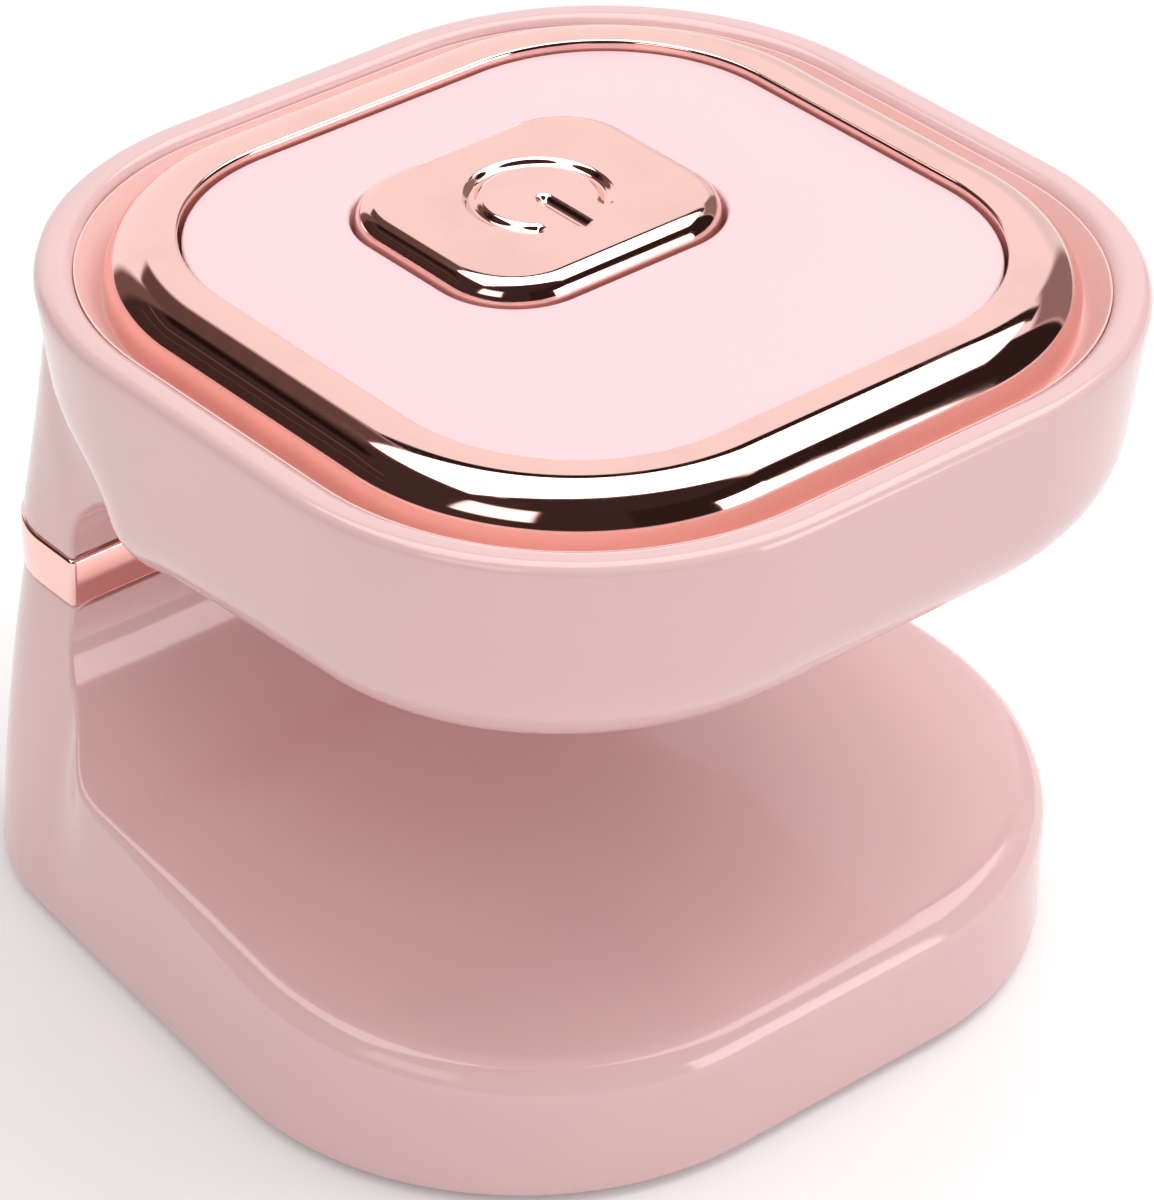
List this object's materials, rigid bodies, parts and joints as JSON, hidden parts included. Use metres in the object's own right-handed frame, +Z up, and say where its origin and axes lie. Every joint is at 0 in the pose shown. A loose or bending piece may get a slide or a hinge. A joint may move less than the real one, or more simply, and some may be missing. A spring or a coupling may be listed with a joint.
{
  "type": "uv nail lamp",
  "caption": "Compact lamp for curing gel nails: a rounded-square lamp head with a push button on top, held by a column at the back over a flat base where a finger rests.",
  "frame": {"origin": "on the surface that the lamp stands on, under the middle of the lamp's length and width", "axes": "+Z up, +Y towards the back, where the column stands, and +X to the right as seen from the front, where the finger goes in"},
  "size_m": [0.0812, 0.0913, 0.0702],
  "materials": {
    "pink_plastic": "smooth gloss, pale blush pink",
    "pink_matte_plastic": "fine texture, blush pink",
    "panel_plastic": "satin, very pale pink",
    "rose_gold": "plated, mirror-like rose gold",
    "foot_rubber": "matt dark grey",
    "steel": "plain zinc-plated",
    "reflector_chrome": "vacuum-plated mirror",
    "green_board": "glass-fibre board with solder mask",
    "white_plastic": "plain white",
    "black_plastic": "plain black",
    "black_insulation": "soft black insulation",
    "red_insulation": "soft red insulation",
    "clear_window": "clear, very slightly violet",
    "diode_plastic": "milky lens"
  },
  "bodies": {
    "housing": {"base_shell": "pink_plastic", "head_shell": "pink_plastic", "base_cover": "pink_matte_plastic", "panel_carrier": "pink_matte_plastic", "top_panel": "panel_plastic", "waist_band": "rose_gold", "bezel_ring": "rose_gold", "rubber_foot_1": "foot_rubber", "rubber_foot_2": "foot_rubber", "rubber_foot_3": "foot_rubber", "rubber_foot_4": "foot_rubber", "base_screw_1": "steel", "base_screw_2": "steel", "base_screw_3": "steel", "base_screw_4": "steel", "column_screw_left": "steel", "column_screw_right": "steel", "led_board_screw_1": "steel", "led_board_screw_2": "steel", "control_board_screw_1": "steel", "control_board_screw_2": "steel", "carrier_screw_1": "steel", "carrier_screw_2": "steel", "carrier_screw_3": "steel", "carrier_screw_4": "steel", "usb_socket": "steel", "capacitor": "steel", "reflector": "reflector_chrome", "usb_board": "green_board", "control_board": "green_board", "led_board": "white_plastic", "usb_tongue": "black_plastic", "control_chip": "black_plastic", "inductor": "black_plastic", "switch_body": "black_plastic", "wire_black": "black_insulation", "wire_red": "red_insulation", "lens_window": "clear_window", "uv_led_1": "diode_plastic", "uv_led_2": "diode_plastic", "uv_led_3": "diode_plastic", "uv_led_4": "diode_plastic", "uv_led_5": "diode_plastic", "uv_led_6": "diode_plastic"},
    "button": {"button_cap": "rose_gold"},
    "switch": {"switch_plunger": "white_plastic"}
  },
  "joints": [
    {"name": "button_press", "type": "slide", "parent": "housing", "child": "button", "axis": [0, 0, -1], "range_m": [0, 0.0005], "stiffness_N_per_m": 300, "springref_m": -0.0015},
    {"name": "switch_press", "type": "slide", "parent": "housing", "child": "switch", "axis": [0, 0, -1], "range_m": [0, 0.0005]}
  ],
  "couplings": [
    {"joint": "switch_press", "follows": "button_press", "ratio": 1}
  ]
}
